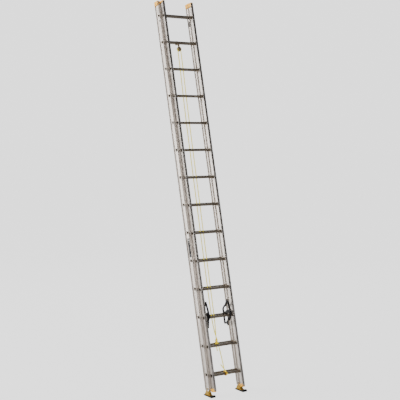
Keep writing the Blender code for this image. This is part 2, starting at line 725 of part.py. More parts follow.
ALUMINIUM = new_material("mill_aluminium", (0.68, 0.66, 0.63), 1.0, 0.38)
CAP_PLASTIC = new_material("yellow_plastic", (0.80, 0.52, 0.06), 0.0, 0.45)
SHOE_METAL = new_material("yellow_paint", (0.72, 0.50, 0.09), 0.0, 0.40)
RUBBER = new_material("black_rubber", (0.02, 0.02, 0.02), 0.0, 0.80)
LOCK_METAL = new_material("black_paint", (0.02, 0.02, 0.022), 0.0, 0.45)
STEEL = new_material("zinc_plated_steel", (0.45, 0.43, 0.40), 1.0, 0.35)
SHEAVE_PLASTIC = new_material("grey_plastic", (0.16, 0.14, 0.12), 0.0, 0.50)
GUIDE_PLASTIC = new_material("black_plastic", (0.04, 0.04, 0.04), 0.0, 0.50)
ROPE = new_material("yellow_rope", (0.83, 0.72, 0.22), 0.0, 0.75)

TILT = new_empty("ladder_tilt", (0.0, 0.0, ORIGIN_HEIGHT), (-LEAN, 0.0, 0.0))
FLY = new_empty("fly_section", (0.0, 0.0, 0.0), parent=TILT)

for SIDE, SIGN in SIDES:
    BASE_RAIL = add_rail(f"{SIDE}_base_rail", SIGN * BASE_WEB_X, 0.0, BASE_DEPTH, BASE_BOTTOM, TILT)
    add_rail(f"{SIDE}_fly_rail", SIGN * FLY_WEB_X, FLY_Y, FLY_DEPTH, FLY_BOTTOM, FLY)
    combine(BASE_RAIL, add_shoe(SIDE, SIGN, TILT), "DIFFERENCE")
    add_lock(SIDE, SIGN, FLY)
add_rungs("base", BASE_WEB_X, 0.0, BASE_FIRST_RUNG, TILT)
add_rungs("fly", FLY_WEB_X, FLY_Y, FLY_FIRST_RUNG, FLY)
add_caps(TILT, FLY)
add_pulley(TILT)
add_halyard(TILT, FLY)
add_guides(TILT)
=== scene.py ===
import math

import bmesh
import bpy
from mathutils import Matrix, Vector


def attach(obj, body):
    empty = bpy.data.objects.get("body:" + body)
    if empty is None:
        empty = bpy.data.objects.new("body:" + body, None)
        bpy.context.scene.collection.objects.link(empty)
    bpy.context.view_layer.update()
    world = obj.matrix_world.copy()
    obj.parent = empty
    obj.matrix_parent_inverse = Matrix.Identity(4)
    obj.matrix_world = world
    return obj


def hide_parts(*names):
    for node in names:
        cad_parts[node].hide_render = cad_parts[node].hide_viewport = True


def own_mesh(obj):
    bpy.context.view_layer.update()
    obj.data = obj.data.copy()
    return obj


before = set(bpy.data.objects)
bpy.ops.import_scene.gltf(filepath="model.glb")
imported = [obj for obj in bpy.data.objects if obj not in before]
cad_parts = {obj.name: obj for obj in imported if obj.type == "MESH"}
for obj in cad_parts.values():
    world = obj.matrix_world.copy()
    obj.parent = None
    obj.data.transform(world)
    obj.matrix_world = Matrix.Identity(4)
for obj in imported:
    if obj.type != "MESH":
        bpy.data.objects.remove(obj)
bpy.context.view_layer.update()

# The ladder's own frame, as in the CAD source: x along the rungs, y from the climber to the wall,
# z up along the rails. TILT takes it to the world.
LEAN = math.radians(14.5)
ORIGIN_HEIGHT = 0.088
TILT = Matrix.Translation((0.0, 0.0, ORIGIN_HEIGHT)) @ Matrix.Rotation(-LEAN, 4, "X")
LEVEL = Matrix.Rotation(LEAN, 4, "X")
SIDES = (("left", -1), ("right", 1))

# Rails and rungs.
RAIL_LENGTH = 4.277
FLANGE_WIDTH = 0.030
FLANGE_THICK = 0.003
WEB_THICK = 0.0025
BASE_DEPTH = 0.076
FLY_DEPTH = 0.070
BASE_WEB_X = 0.207
FLY_WEB_X = 0.188
FLY_Y = -0.066
BASE_BOTTOM = -0.024
FLY_BOTTOM = -0.040
RUNG_COUNT = 14
RUNG_PITCH = 0.3048
RUNG_MARGIN = 0.158
BASE_FIRST_RUNG = BASE_BOTTOM + RUNG_MARGIN
FLY_FIRST_RUNG = FLY_BOTTOM + RUNG_MARGIN
RUNG_WIDTH = 0.032
RUNG_HEIGHT = 0.027
RUNG_CORNER = 0.003
RUNG_RIDGE = 0.0009
RUNG_PAST_WEB = 0.0035

# Heights of what hangs on or near a rung.
LOCK_Z = FLY_FIRST_RUNG + 2 * RUNG_PITCH
KNOT_Z = BASE_FIRST_RUNG + RUNG_PITCH
PULLEY_RUNG_Z = BASE_FIRST_RUNG + 12 * RUNG_PITCH
AXLE_Z = PULLEY_RUNG_Z - 0.080
TOP_RUNG_Z = BASE_FIRST_RUNG + 13 * RUNG_PITCH

# Rope, pulley and knots.
ROPE_DIAMETER = 0.0095
ROPE_OVER_STRANDS = 0.0110
ROPE_Y = -0.033
ROPE_RADIUS_ON_SHEAVE = 0.0190
ROPE_CREASE = 75
KNOT_STEP = 0.0016
KNOT_LAY = 0.026
COIL_RADIUS = 0.0098
ROUTE_SPACING = 0.0055
PULLEY_X = -0.020
KNOT_X = -0.031
HITCH_X = -0.006

# Locks, shoes, guides and label.
LOCK_X = 0.142
LOCK_THICK = 0.016
TONGUE_PIVOT = (0.012, -0.050)
TONGUE_THICK = 0.0095
SHOE_PIVOT_Z = -0.014
BOLT_RADIUS = 0.0048
GUIDE_INNER_X = 0.192
GUIDE_OUTER_X = 0.2053
LABEL_LOW = 1.3925
LABEL_HIGH = 1.5995
LABEL_HALF_WIDTH = 0.0200
LABEL_RING_INSET = 0.0190

# The space left between two pieces.
GAP = 0.0003

# Camera, in metres and degrees.
CAMERA_AT = (-5.979, -8.165, 2.976)
CAMERA_AZIMUTH = 34.646
CAMERA_PITCH = 5.108
CAMERA_ROLL = 0.584
CAMERA_FIELD = 23.44

# Looks: the rope's painted glow, what the camera sees behind the ladder, and the light all round.
ROPE_GLOW = 0.60
BACKDROP = 2.0
FLOOR_GLOW = 2.35
FLOOR_GLOW_SHARE = 0.8
WORLD_BRIGHT = 1.15
WORLD_DARK = 0.03
WORLD_DARK_SIDE = (0.60, -0.80, 0.0)
WORLD_TURN = (-0.45, 0.55)
NOISE_SPAN = (0.30, 0.70)
LIGHTS = (
    # name, place, what it is aimed at, side in metres, watts
    ("key_light", (-6.0, 3.5, 6.5), (0.0, 0.4, 1.8), 5.0, 620.0),
    ("rear_light", (4.5, 6.5, 5.5), (0.0, 0.6, 2.2), 5.0, 160.0),
    ("side_light", (-7.0, 6.5, 1.6), (0.0, 0.3, 1.4), 5.0, 420.0),
    ("front_light", (-8.0, -9.5, 4.5), (0.0, 0.4, 2.0), 3.0, 260.0),
)

# Routes of the halyard's two runs, as in the CAD source: (x, y, height over the fly's lowest rung).
FLY_LINE_ROUTE = [
    (-0.0415, -0.0330, 3.35),
    (-0.0490, -0.0330, 3.05),
    (-0.0550, -0.0335, 2.75),
    (-0.0580, -0.0340, 2.40),
    (-0.0610, -0.0340, 2.00),
    (-0.0640, -0.0345, 1.60),
    (-0.0675, -0.0350, 1.20),
    (-0.0690, -0.0355, 0.85),
    (-0.0680, -0.0360, 0.62),
    (-0.0590, -0.0370, 0.48),
    (-0.0420, -0.0375, 0.38),
    (-0.0250, -0.0385, 0.28),
    (-0.0120, -0.0405, 0.17),
    (-0.0050, -0.0435, 0.08),
    (-0.0020, -0.0447, 0.026),
]
HAUL_LINE_ROUTE = [
    (-0.0030, -0.0330, 3.35),
    (-0.0100, -0.0330, 3.05),
    (-0.0150, -0.0335, 2.75),
    (-0.0180, -0.0335, 2.40),
    (-0.0210, -0.0335, 2.00),
    (-0.0245, -0.0335, 1.60),
    (-0.0285, -0.0335, 1.20),
    (-0.0305, -0.0330, 0.85),
    (-0.0315, -0.0320, 0.62),
    (-0.0320, -0.0270, 0.50),
    (-0.0320, -0.0185, 0.42),
    (-0.0310, -0.0130, 0.3812),
]
HITCH_TAIL = [
    (-0.0100, -0.0800, 0.012),
    (-0.0130, -0.0840, 0.026),
    (-0.0290, -0.0860, 0.048),
    (-0.0480, -0.0850, 0.076),
    (-0.0650, -0.0830, 0.103),
]
KNOT_TAIL = [
    (-0.0330, -0.0180, 0.038),
    (-0.0440, -0.0255, 0.030),
    (-0.0500, -0.0262, 0.006),
    (-0.0480, -0.0262, -0.030),
    (-0.0440, -0.0262, -0.075),
]


# ---- geometry helpers


def arc(centre, radius, start, end, steps):
    turns = [math.radians(start + (end - start) * i / steps) for i in range(steps + 1)]
    return [(centre[0] + radius * math.cos(a), centre[1] + radius * math.sin(a)) for a in turns]


def angles(steps):
    return [math.tau * i / steps for i in range(steps)]


def ring(centre, radius, steps):
    return arc(centre, radius, 0, 360 - 360 / steps, steps - 1)


def bend(a, b, c):
    """A few points along a bend from a by way of b to c."""
    out = []
    for i in range(9):
        t = i / 8
        out.append(tuple((1 - t) ** 2 * p + 2 * t * (1 - t) * q + t * t * s for p, q, s in zip(a, b, c)))
    return out


def rounded_plate(half, toe, heel, corner):
    """A rounded rectangle in (x, y), from -toe to heel."""
    side, back, front = half - corner, heel - corner, corner - toe
    points = []
    for x, y, start in ((side, back, 0), (-side, back, 90), (-side, front, 180), (side, front, 270)):
        points += arc((x, y), corner, start, start + 90, 5)
    return points


def raised(points, height):
    return [(x, y, z + height) for x, y, z in points]


def smooth_route(points, spacing):
    """Points a fixed spacing apart on a smooth curve through the route's own points."""
    knots = [Vector(p) for p in points]
    knots = [2 * knots[0] - knots[1], *knots, 2 * knots[-1] - knots[-2]]
    fine = [knots[1]]
    for a, b, c, d in zip(knots, knots[1:], knots[2:], knots[3:]):
        steps = max(1, round((c - b).length / spacing))
        for i in range(1, steps + 1):
            t = i / steps
            along = (c - a) * t + (2 * a - 5 * b + 4 * c - d) * t**2 + (3 * b - a - 3 * c + d) * t**3
            fine.append(b + along / 2)
    return fine


def evenly(points, step):
    """The same line with its points an even step apart."""
    out = [points[0].copy()]
    left = step
    for a, b in zip(points, points[1:]):
        length = (b - a).length
        at = left
        while at <= length:
            out.append(a.lerp(b, at / length))
            at += step
        left = at - length
    out.append(points[-1].copy())
    return out


def mesh_from(name, verts, faces):
    mesh = bpy.data.meshes.new(name)
    mesh.from_pydata([tuple(v) for v in verts], [], faces)
    work = bmesh.new()
    work.from_mesh(mesh)
    bmesh.ops.recalc_face_normals(work, faces=work.faces)
    work.to_mesh(mesh)
    work.free()
    return mesh


def loft(name, rings, closed=False):
    """A skin over rings of points, each joined to the next. Closed joins the last to the first."""
    count = len(rings[0])
    faces = []
    for i in range(len(rings) if closed else len(rings) - 1):
        a, b = i * count, (i + 1) % len(rings) * count
        for j in range(count):
            k = (j + 1) % count
            faces.append((a + j, a + k, b + k, b + j))
    if not closed:
        faces.append(tuple(range(count)))
        faces.append(tuple(range((len(rings) - 1) * count, len(rings) * count)))
    return mesh_from(name, [p for r in rings for p in r], faces)


def prism(name, outline, low, high, axis="Z"):
    """A straight bar of one outline. Drawn in (x, y) along z, or in (y, z) along x."""
    if axis == "Z":
        return loft(name, [[(u, v, h) for u, v in outline] for h in (low, high)])
    return loft(name, [[(h, u, v) for u, v in outline] for h in (low, high)])


def plate(name, loops, low, high):
    """A plate drawn in (y, z) with holes, from low to high along x."""
    curve = bpy.data.curves.new(name, "CURVE")
    curve.dimensions = "2D"
    curve.fill_mode = "BOTH"
    curve.extrude = (high - low) / 2
    for loop in loops:
        spline = curve.splines.new("POLY")
        spline.points.add(len(loop) - 1)
        for point, (u, v) in zip(spline.points, loop):
            point.co = (u, v, 0.0, 1.0)
        spline.use_cyclic_u = True
    made = bpy.data.objects.new(name, curve)
    bpy.context.scene.collection.objects.link(made)
    bpy.context.view_layer.update()
    mesh = bpy.data.meshes.new_from_object(made.evaluated_get(bpy.context.evaluated_depsgraph_get()))
    bpy.data.objects.remove(made)
    work = bmesh.new()
    work.from_mesh(mesh)
    bmesh.ops.remove_doubles(work, verts=work.verts, dist=0.00001)
    bmesh.ops.dissolve_limit(
        work, angle_limit=math.radians(1), verts=work.verts, edges=work.edges, delimit={"NORMAL"}
    )
    bmesh.ops.recalc_face_normals(work, faces=work.faces)
    work.to_mesh(mesh)
    work.free()
    middle = (low + high) / 2
    mesh.transform(Matrix(((0, 0, 1, middle), (1, 0, 0, 0), (0, 1, 0, 0), (0, 0, 0, 1))))
    return mesh


def block(name, low, high):
    corners = [(x, y, z) for x in (low[0], high[0]) for y in (low[1], high[1]) for z in (low[2], high[2])]
    faces = [(0, 1, 3, 2), (4, 6, 7, 5), (0, 4, 5, 1), (2, 3, 7, 6), (0, 2, 6, 4), (1, 5, 7, 3)]
    return mesh_from(name, corners, faces)


def turned(name, profile, steps=32):
    """A turned piece along x. The profile is (x, radius) from one end on the axis to the other."""
    rings = []
    for x, r in profile:
        r = max(r, 0.00001)
        rings.append([(x, r * math.cos(a), r * math.sin(a)) for a in angles(steps)])
    return loft(name, rings)


def joined(name, meshes):
    work = bmesh.new()
    for mesh in meshes:
        work.from_mesh(mesh)
    made = bpy.data.meshes.new(name)
    work.to_mesh(made)
    work.free()
    return made


def placed(mesh, *moves):
    """The mesh itself, after each of the moves in turn."""
    for move in moves:
        mesh.transform(move)
    return mesh


def mirror(sign):
    """Leaves x as it is for 1, and turns it round for -1."""
    return Matrix.Diagonal((sign, 1, 1, 1))


def bend_frames(path):
    """A direction, and two others across it that don't spin, at each point of a line."""
    along = []
    for i in range(len(path)):
        a, b = path[max(0, i - 1)], path[min(len(path) - 1, i + 1)]
        along.append((b - a).normalized())
    side = along[0].orthogonal().normalized()
    frames = []
    for t in along:
        side = (side - t * side.dot(t)).normalized()
        frames.append((t, side, t.cross(side)))
    return frames


def rope_mesh(name, points, step=0.0028, lay=0.030):
    """Three strands laid round each other along a line, with a ring of points at each step."""
    path = evenly(smooth_route(points, 0.01), step)
    frames = bend_frames(path)
    radius = ROPE_OVER_STRANDS / 2
    strand = radius * 0.464
    offset = radius - strand
    section = []
    for lobe in range(3):
        for part in (-50, -30, -10, 10, 30, 50):
            phi = math.radians(part)
            reach = offset * math.cos(phi) + math.sqrt(max(strand**2 - (offset * math.sin(phi)) ** 2, 0.0))
            section.append((phi + lobe * math.tau / 3, max(reach, 0.80 * radius)))
    rings = []
    for i, (p, (_, u, v)) in enumerate(zip(path, frames)):
        spin = math.tau * i * step / lay
        taper = 1.0 if 0 < i < len(path) - 1 else 0.8
        rings.append([p + (u * math.cos(a + spin) + v * math.sin(a + spin)) * r * taper for a, r in section])
    return loft(name, rings), path


def piece(name, mesh, body, material, replaces=(), matrix=TILT, sharp=32, bevel=0.0, segments=2):
    """An object of the looks, in place, riding on its body, and standing for its CAD nodes."""
    made = bpy.data.objects.new(name, mesh)
    bpy.context.scene.collection.objects.link(made)
    made.matrix_world = matrix
    if not mesh.materials:
        mesh.materials.append(material)
    mesh.shade_smooth()
    mesh.set_sharp_from_angle(angle=math.radians(sharp))
    if bevel:
        modifier = made.modifiers.new("edges", "BEVEL")
        modifier.width = bevel
        modifier.segments = segments
        modifier.limit_method = "ANGLE"
        modifier.angle_limit = math.radians(35)
        modifier.harden_normals = True
    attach(made, body)
    if replaces:
        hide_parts(*replaces)
    return made


def cut(made, tool):
    """Takes the tool's mesh out of a piece for good."""
    cutter = bpy.data.objects.new("cutter", tool)
    bpy.context.scene.collection.objects.link(cutter)
    cutter.matrix_world = made.matrix_world
    modifier = made.modifiers.new("cut", "BOOLEAN")
    modifier.operation = "DIFFERENCE"
    modifier.solver = "EXACT"
    modifier.object = cutter
    bpy.context.view_layer.update()
    mesh = bpy.data.meshes.new_from_object(made.evaluated_get(bpy.context.evaluated_depsgraph_get()))
    made.modifiers.clear()
    old = made.data
    made.data = mesh
    mesh.name = old.name
    bpy.data.objects.remove(cutter)


# ---- materials


def colour(*levels):
    """A screen colour, 0 to 255, as the shader's linear one."""
    linear = [c / 255 / 12.92 if c <= 10 else ((c / 255 + 0.055) / 1.055) ** 2.4 for c in levels]
    return (*linear, 1.0)


def noise_at(tree, place, scale, detail):
    made = tree.nodes.new("ShaderNodeTexNoise")
    made.inputs["Scale"].default_value = scale
    made.inputs["Detail"].default_value = detail
    tree.links.new(place, made.inputs["Vector"])
    return made.outputs["Fac"]


def worked_out(tree, operation, first, second):
    """A Math node's result. The second value is linked, or a plain number."""
    made = tree.nodes.new("ShaderNodeMath")
    made.operation = operation
    tree.links.new(first, made.inputs[0])
    if isinstance(second, float):
        made.inputs[1].default_value = second
    else:
        tree.links.new(second, made.inputs[1])
    return made.outputs["Value"]


def mapped(tree, value, low, high, to_low=0.0, to_high=1.0):
    """A value from low to high, as one from to_low to to_high."""
    made = tree.nodes.new("ShaderNodeMapRange")
    for socket, number in (("From Min", low), ("From Max", high), ("To Min", to_low), ("To Max", to_high)):
        made.inputs[socket].default_value = number
    tree.links.new(value, made.inputs["Value"])
    return made


def new_material(name, metallic, roughness, base, spread=0.12, scale=(1, 1, 1), detail=6.0, noise=20.0,
                 rough_spread=0.1, bump=0.0, bump_scale=None, sheen=0.0, specular=0.5, glow=0.0, spots=None):
    """A Principled material whose colour and roughness vary with noise in the object's own space.
    scale stretches the noise, so a small number along an axis makes streaks along it. bump is a height
    in metres. spots are small marks: their colour, their scale and the noise value that they start at."""
    made = bpy.data.materials.new(name)
    made.use_nodes = True
    tree = made.node_tree
    nodes, links = tree.nodes, tree.links
    shader = nodes["Principled BSDF"]
    for socket, value in (("Metallic", metallic), ("Specular IOR Level", specular), ("Sheen Weight", sheen)):
        shader.inputs[socket].default_value = value
    # glow is painted light: the surface gives off its own colour though it is no lamp.
    if glow:
        shader.inputs["Emission Color"].default_value = base
        shader.inputs["Emission Strength"].default_value = glow

    place = nodes.new("ShaderNodeTexCoord").outputs["Object"]
    mapping = nodes.new("ShaderNodeMapping")
    mapping.inputs["Scale"].default_value = scale
    links.new(place, mapping.inputs["Vector"])
    stretched = mapping.outputs["Vector"]
    grain = noise_at(tree, stretched, noise, detail)
    patches = noise_at(tree, place, 9.0, 4.0)
    both = worked_out(tree, "MULTIPLY", worked_out(tree, "ADD", grain, patches), 0.5)

    ramp = nodes.new("ShaderNodeValToRGB")
    links.new(both, ramp.inputs["Fac"])
    for stop, position, share in zip(ramp.color_ramp.elements, NOISE_SPAN, (1 - spread, 1 + spread)):
        stop.position = position
        stop.color = [min(1.0, c * share) for c in base[:3]] + [1.0]
    painted = ramp.outputs["Color"]
    if spots:
        mark, mark_scale, least = spots
        blend = nodes.new("ShaderNodeMix")
        blend.data_type = "RGBA"
        marks = mapped(tree, noise_at(tree, place, mark_scale, 8.0), least, least + 0.06)
        links.new(marks.outputs["Result"], blend.inputs["Factor"])
        links.new(painted, blend.inputs["A"])
        blend.inputs["B"].default_value = mark
        painted = blend.outputs["Result"]
    links.new(painted, shader.inputs["Base Color"])

    smooth, rough = max(0.02, roughness - rough_spread), min(1.0, roughness + rough_spread)
    links.new(mapped(tree, both, *NOISE_SPAN, smooth, rough).outputs["Result"], shader.inputs["Roughness"])
    if bump:
        relief = nodes.new("ShaderNodeBump")
        relief.inputs["Strength"].default_value = 0.6
        relief.inputs["Distance"].default_value = bump
        height = noise_at(tree, stretched, bump_scale, 3.0) if bump_scale else grain
        links.new(height, relief.inputs["Height"])
        links.new(relief.outputs["Normal"], shader.inputs["Normal"])
    return made


RAIL_METAL = new_material("mill_aluminium", 1.0, 0.40, colour(206, 199, 192), spread=0.10, noise=14.0,
                          scale=(60, 60, 0.8), detail=5.0, rough_spread=0.09, bump=0.00006)
# The rungs' aluminium is a darker, browner copy of the rails' own: painted shade.
RUNG_METAL_SHADED = new_material("rung_aluminium_painted_shade", 1.0, 0.42, colour(112, 103, 92), spread=0.14, noise=14.0,
                          scale=(0.8, 60, 60), detail=5.0, rough_spread=0.09, bump=0.00006)
CAP_PLASTIC = new_material("yellow_moulding", 0.0, 0.42, colour(246, 176, 0), spread=0.06, noise=60.0,
                           rough_spread=0.06, bump=0.00008, bump_scale=900.0)
SHOE_METAL = new_material("yellow_zinc", 0.60, 0.42, colour(158, 126, 42), spread=0.20, noise=50.0,
                          bump=0.00006, bump_scale=400.0, spots=(colour(120, 92, 52), 70.0, 0.66))
RUBBER = new_material("black_rubber", 0.0, 0.78, colour(20, 19, 18), spread=0.25, noise=90.0, bump=0.00015,
                      bump_scale=1400.0, specular=0.2)
LOCK_METAL = new_material("black_casting", 0.0, 0.42, colour(24, 23, 23), spread=0.25, noise=60.0,
                          bump=0.00014, bump_scale=800.0, specular=0.25,
                          spots=(colour(92, 88, 84), 120.0, 0.70))
STEEL = new_material("zinc_plate", 1.0, 0.33, colour(165, 160, 150), spread=0.16, noise=120.0,
                     bump=0.00004, bump_scale=500.0)
DARK_STEEL = new_material("dull_zinc", 1.0, 0.45, colour(96, 90, 82), spread=0.20, noise=90.0,
                          bump=0.00005, bump_scale=500.0)
SHEAVE_PLASTIC = new_material("dark_moulding", 0.0, 0.48, colour(66, 60, 54), noise=70.0, bump=0.00006,
                              bump_scale=900.0)
BLOCK_PAINT = new_material("brown_paint", 0.0, 0.50, colour(150, 132, 104), spread=0.16, noise=90.0,
                           bump=0.00005, bump_scale=500.0)
WHEEL_NYLON = new_material("worn_nylon", 0.0, 0.50, colour(176, 164, 136), noise=70.0, bump=0.00006,
                           bump_scale=900.0)
# The rope glows a little though it is no lamp: painted light.
ROPE = new_material("yellow_rope", 0.0, 0.65, colour(248, 230, 0), spread=0.06, noise=260.0, bump=0.0003,
                    bump_scale=900.0, sheen=0.2, glow=ROPE_GLOW)
# A darker, deeper yellow copy of the rope, without its glow: painted shade between the knots' turns.
ROPE_KNOT_SHADED = new_material("yellow_rope_knot_painted_shade", 0.0, 0.70, colour(236, 172, 18), spread=0.14, noise=260.0,
                         bump=0.0003, bump_scale=900.0, sheen=0.3)
LABEL_BLACK = new_material("label_black", 0.0, 0.62, colour(16, 16, 17), spread=0.2, noise=80.0,
                           specular=0.1)
LABEL_PALE = new_material("label_pale", 0.0, 0.45, colour(226, 224, 218), spread=0.05, noise=80.0)
LABEL_GREY = new_material("label_grey", 0.0, 0.45, colour(116, 116, 116), spread=0.08, noise=80.0)
FLOOR = new_material("pale_floor", 0.0, 0.85, colour(238, 238, 238), spread=0.01, noise=2.0)


# ---- camera and halyard, which come first


def add_camera():
    """It stands to the climber's left, ten metres off, level with the middle of the ladder."""
    azimuth, pitch, roll = [math.radians(a) for a in (CAMERA_AZIMUTH, CAMERA_PITCH, CAMERA_ROLL)]
    flat = math.cos(pitch)
    ahead = Vector((math.sin(azimuth) * flat, math.cos(azimuth) * flat, -math.sin(pitch)))
    level = Vector((math.cos(azimuth), -math.sin(azimuth), 0.0))
    above = level.cross(ahead)
    right = math.cos(roll) * level + math.sin(roll) * above
    up = math.cos(roll) * above - math.sin(roll) * level
    data = bpy.data.cameras.new("camera")
    data.angle = math.radians(CAMERA_FIELD)
    made = bpy.data.objects.new("camera", data)
    bpy.context.scene.collection.objects.link(made)
    turn = Matrix((right, up, -ahead)).transposed().to_4x4()
    made.matrix_world = Matrix.Translation(CAMERA_AT) @ turn
    bpy.context.scene.camera = made


def to_world(points):
    return [TILT @ Vector(p) for p in points]


def add_halyard():
    """The halyard's two runs. They meet where the rope first touches the pulley's wheel."""
    split_z = AXLE_Z - ROPE_DIAMETER
    left_x = PULLEY_X - ROPE_RADIUS_ON_SHEAVE
    straight = [(left_x, ROPE_Y, split_z - drop) for drop in (GAP, ROPE_DIAMETER)]
    points = straight + raised(FLY_LINE_ROUTE, FLY_FIRST_RUNG)
    mesh, path = rope_mesh("halyard_run_to_fly", points)
    fly_run = piece("halyard_run_to_fly", mesh, "base", ROPE, ["halyard_fly_line"], sharp=ROPE_CREASE)
    declare(path)

    over = [(left_x, split_z)] + arc((PULLEY_X, AXLE_Z), ROPE_RADIUS_ON_SHEAVE, 180, 0, 12)
    points = [(x, ROPE_Y, z) for x, z in over] + raised(HAUL_LINE_ROUTE, FLY_FIRST_RUNG)
    mesh, path = rope_mesh("halyard_haul_run", points)
    haul = piece("halyard_haul_run", mesh, "base", ROPE, ["halyard_haul_line"], sharp=ROPE_CREASE)
    declare(path)

    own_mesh(fly_run)


def declare(path):
    """Takes a run's points into the world's frame, and does nothing more with them."""
    path = to_world(path)


add_camera()
add_halyard()


# ---- rungs and rails


def rung_ring(x, grow, ridge=0.0):
    """One ring of points round a rung: a level tread with ridges, and a bowl below."""
    half, top = RUNG_WIDTH / 2 + grow, RUNG_HEIGHT / 2 + grow
    corner = max(RUNG_CORNER + grow, 0.001)
    shoulder = top - corner
    points = arc((half - corner, shoulder), corner, 90, 0, 4)
    for i in range(1, 20):
        a = math.pi * i / 20
        points.append((half * math.cos(a), shoulder - (shoulder + top) * math.sin(a)))
    points += arc((corner - half, shoulder), corner, 180, 90, 4)
    flat = half - corner
    pitch = 2 * flat / 7
    for i in range(7):
        start = -flat + i * pitch
        for share, drop in ((0.12, ridge), (0.30, 0.0), (0.70, 0.0), (0.88, ridge)):
            points.append((start + share * pitch, top - drop))
    return [(x, y, z) for y, z in points]


def rung_mesh(name, web_x):
    """A tube with ridges on its tread, flared outside each rail's web and beaded inside it."""
    end = web_x + RUNG_PAST_WEB
    outer, inner = web_x + WEB_THICK / 2, web_x - WEB_THICK / 2
    half = [
        (end - 0.0004, -0.0021, 0.0),
        (end, -0.0012, 0.0),
        (end, 0.0012, 0.0),
        (end - 0.0006, 0.0027, 0.0),
        (outer + 0.0002, 0.0031, 0.0),
        (outer, 0.0028, 0.0),
        (outer, 0.0, 0.0),
        (inner, 0.0, 0.0),
        (inner, 0.0053, 0.0),
        (inner - 0.0010, 0.0056, 0.0),
        (inner - 0.0024, 0.0051, 0.0),
        (inner - 0.0034, 0.0036, 0.0),
        (inner - 0.0038, 0.0016, 0.0),
        (inner - 0.0052, 0.0004, RUNG_RIDGE / 2),
        (inner - 0.0070, 0.0, RUNG_RIDGE),
    ]
    rings = [rung_ring(x, grow, ridge) for x, grow, ridge in half]
    rings += [rung_ring(-x, grow, ridge) for x, grow, ridge in reversed(half)]
    return loft(name, rings, closed=True)


def rail_outline(depth):
    """An I-beam with rounded roots and shallow grooves along its flanges."""
    side, web, end = FLANGE_WIDTH / 2, WEB_THICK / 2, depth / 2
    root, tip = end - FLANGE_THICK, end - 0.0026
    groove = 0.0005
    quarter = [(web, -(root - 0.0030)), (web + 0.0009, -(root - 0.0009)), (web + 0.0030, -root)]
    quarter += [(side - 0.0006, -tip), (side, -(tip + 0.0006))]
    quarter += [(side, -(end - 0.0008)), (side - 0.0008, -end)]
    for middle in (0.0105, 0.0060):
        quarter += [(middle + 0.0009, -end), (middle, -(end - groove)), (middle - 0.0009, -end)]
    half = quarter + [(-x, y) for x, y in reversed(quarter)]
    return half + [(-x, -y) for x, y in half]


def add_rails():
    """I-beams with a hole for each rung, and in the base one for each shoe's bolt."""
    for section, web_x, y, depth, bottom, first in (
        ("base", BASE_WEB_X, 0.0, BASE_DEPTH, BASE_BOTTOM, BASE_FIRST_RUNG),
        ("fly", FLY_WEB_X, FLY_Y, FLY_DEPTH, FLY_BOTTOM, FLY_FIRST_RUNG),
    ):
        hole = [(u, v) for _, u, v in rung_ring(0.0, 0.0002)]
        tools = []
        for i in range(RUNG_COUNT):
            up = Matrix.Translation((0.0, 0.0, first - bottom + i * RUNG_PITCH))
            tools.append(placed(prism("hole", hole, -0.02, 0.02, "X"), up @ LEVEL))
        if section == "base":
            bore = turned("hole", [(-0.02, 0), (-0.02, BOLT_RADIUS), (0.02, BOLT_RADIUS), (0.02, 0)], 24)
            tools.append(placed(bore, Matrix.Translation((0.0, 0.0, -bottom))))
        tools = joined("holes", tools)
        for side, sign in SIDES:
            mesh = prism(f"{side}_{section}_rail_bar", rail_outline(depth), 0.0, RAIL_LENGTH)
            at = TILT @ Matrix.Translation((sign * web_x, y, bottom))
            node = f"{side}_{section}_rail"
            made = piece(node + "_bar", mesh, section, RAIL_METAL, [node], at, sharp=28)
            cut(made, tools)


def add_rungs():
    for section, web_x, y, first in (
        ("base", BASE_WEB_X, 0.0, BASE_FIRST_RUNG),
        ("fly", FLY_WEB_X, FLY_Y, FLY_FIRST_RUNG),
    ):
        mesh = rung_mesh(section + "_rung_tube", web_x)
        for i in range(RUNG_COUNT):
            centre = TILT @ Vector((0.0, y, first + i * RUNG_PITCH))
            node = f"{section}_rung_{i + 1:02d}"
            at = Matrix.Translation(centre)
            piece(node + "_tube", mesh, section, RUNG_METAL_SHADED, [node], at)


add_rails()
add_rungs()


# ---- caps


def rounded_block(inset, z, half_x, y0, y1, corner):
    """One ring of a rounded rectangle at a height."""
    r = max(corner - inset / 2, 0.0008)
    side, low, high = half_x - inset - r, y0 + inset + r, y1 - inset - r
    points = []
    for x, y, start in ((side, high, 0), (-side, high, 90), (-side, low, 180), (side, low, 270)):
        points += [(u, v, z) for u, v in arc((x, y), r, start, start + 90, 5)]
    return points


def cap_mesh(name, low_y, high_y, wall, skirt):
    """A moulded cap: a rounded top, with a skirt below it."""
    half = FLANGE_WIDTH / 2 + wall
    top, dome = 0.012, 0.0075
    levels = [(0.0007, -skirt), (0.0, -skirt + 0.0012), (0.0, -0.0006), (0.0, 0.0012), (0.0, top - dome)]
    levels += [(dome * (1 - math.cos(a)), top - dome + dome * math.sin(a)) for a in
               [math.radians(15 * i) for i in range(1, 7)]]
    return loft(name, [rounded_block(i, z, half, low_y, high_y, 0.004) for i, z in levels])


def grown_section(depth, grow, root=FLANGE_THICK):
    """A rail's section with room round it."""
    side, web, end = FLANGE_WIDTH / 2 + grow, WEB_THICK / 2 + grow, depth / 2 + grow
    inner = depth / 2 - root - grow
    half = [(web, -inner), (side, -inner), (side, -end), (-side, -end), (-side, -inner), (-web, -inner)]
    return half + [(-x, -y) for x, y in half]


